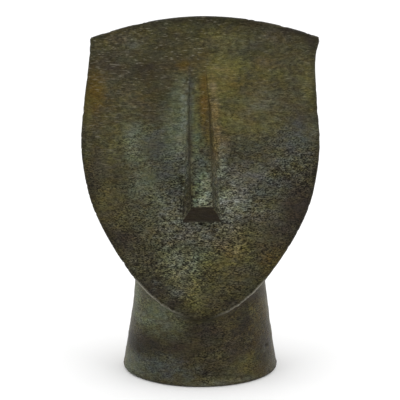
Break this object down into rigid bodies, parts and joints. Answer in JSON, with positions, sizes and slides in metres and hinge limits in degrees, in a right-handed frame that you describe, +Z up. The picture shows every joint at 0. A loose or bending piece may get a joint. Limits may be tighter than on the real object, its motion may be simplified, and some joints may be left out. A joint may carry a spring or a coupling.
{
  "type": "cast bronze head sculpture",
  "caption": "Cycladic-style head of cast bronze: a smooth shield face with only a long straight nose, leaning back on a round flared neck with a flat underside.",
  "frame": {"origin": "middle of the neck's flat underside, on the surface that the head stands on", "axes": "+Z up, -Y the way the face looks, +X to the right for someone who stands facing the work"},
  "size_m": [0.2003, 0.1277, 0.3005],
  "materials": {
    "bronze": "cast bronze with a dark olive, ochre and verdigris patina, matt to satin"
  },
  "bodies": {
    "root": {"bronze_head": "bronze"}
  },
  "joints": []
}
